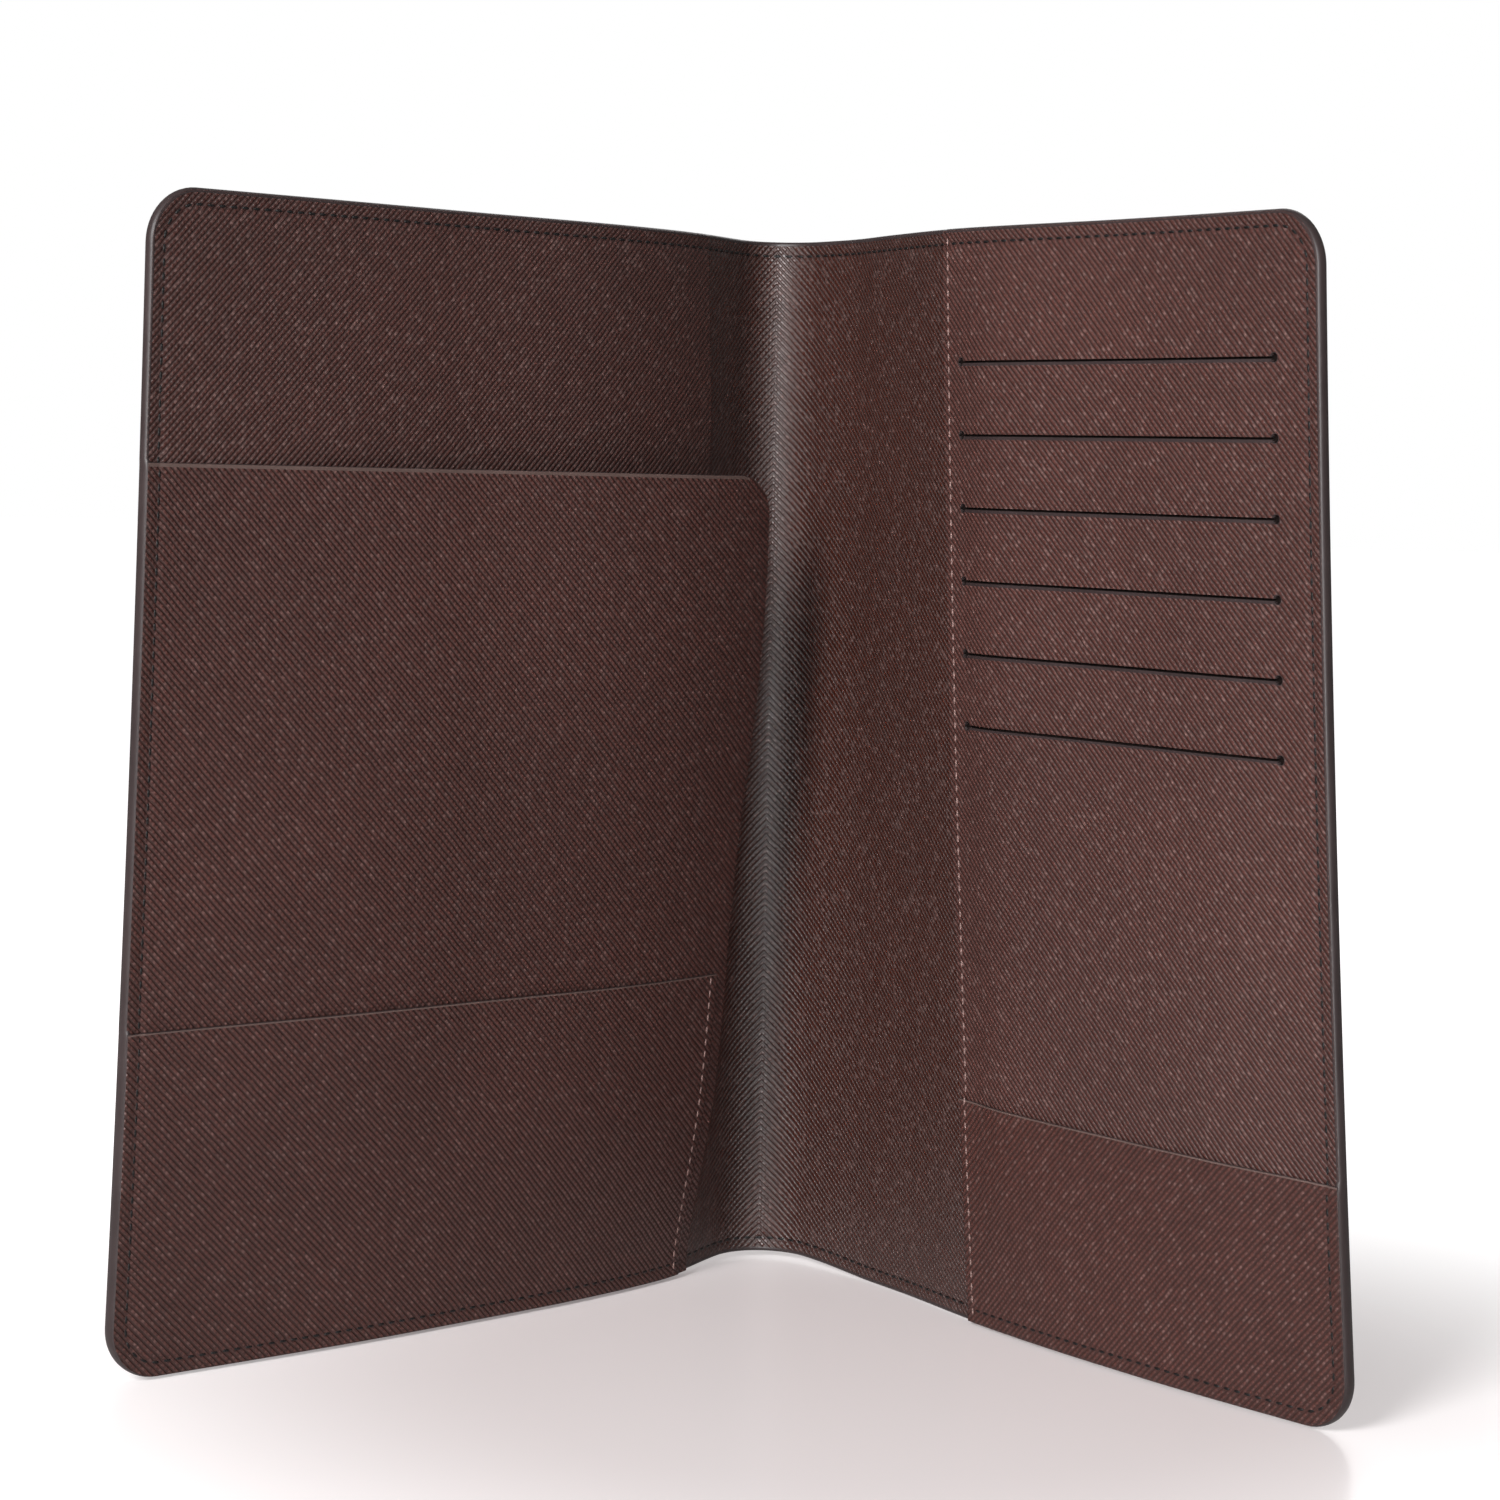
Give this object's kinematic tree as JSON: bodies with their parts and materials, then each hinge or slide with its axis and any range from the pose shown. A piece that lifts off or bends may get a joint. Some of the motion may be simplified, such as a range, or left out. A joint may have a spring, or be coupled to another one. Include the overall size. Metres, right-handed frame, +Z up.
{
  "type": "passport holder",
  "caption": "Book-style leather document holder, standing open: two hinged covers on a curved spine, card slots, slip pockets.",
  "frame": {"origin": "on the floor, at the middle of the bounding box of the holder as it stands open", "axes": "+Z up along the spine; +X from the front cover towards the back cover; the inside faces -Y and the spine is at +Y"},
  "size_m": [0.2484, 0.1428, 0.245],
  "materials": {
    "outer_canvas": "coated cross-grain canvas, satin",
    "cover_board": "thin fibre board",
    "lining_leather": "cross-grain, satin",
    "panel_leather": "cross-grain, satin",
    "edge_paint": "painted, rounded and burnished edge",
    "dark_thread": "waxed thread",
    "light_thread": "waxed thread, catches the light",
    "sleeve_cloth": "woven lining cloth"
  },
  "bodies": {
    "spine": {"spine_outer_skin": "outer_canvas", "spine_stiffener": "cover_board", "spine_lining": "lining_leather", "spine_top_edge_paint": "edge_paint", "spine_bottom_edge_paint": "edge_paint", "spine_top_stitching": "dark_thread", "spine_bottom_stitching": "dark_thread"},
    "front_cover": {"front_outer_skin": "outer_canvas", "front_board": "cover_board", "front_lining": "lining_leather", "front_edge_paint": "edge_paint", "front_slip_pocket": "panel_leather", "front_stitching": "dark_thread", "front_pocket_leaf": "panel_leather", "leaf_lower_pocket": "panel_leather", "leaf_pocket_stitching": "light_thread"},
    "back_cover": {"back_outer_skin": "outer_canvas", "back_board": "cover_board", "back_lining": "lining_leather", "back_edge_paint": "edge_paint", "card_panel": "panel_leather", "card_sleeve_1": "sleeve_cloth", "card_sleeve_2": "sleeve_cloth", "card_sleeve_3": "sleeve_cloth", "card_sleeve_4": "sleeve_cloth", "card_sleeve_5": "sleeve_cloth", "card_sleeve_6": "sleeve_cloth", "card_panel_stitching": "light_thread", "back_lower_pocket": "panel_leather", "back_pocket_stitching": "dark_thread"}
  },
  "joints": [
    {"name": "front_cover_fold", "type": "hinge", "parent": "spine", "child": "front_cover", "pos_m": [-0.01034, 0.06556, 0], "axis": [0, 0, 1], "range_deg": [-50, 32]},
    {"name": "back_cover_fold", "type": "hinge", "parent": "spine", "child": "back_cover", "pos_m": [0.01034, 0.06556, 0], "axis": [0, 0, -1], "range_deg": [-50, 32]}
  ]
}
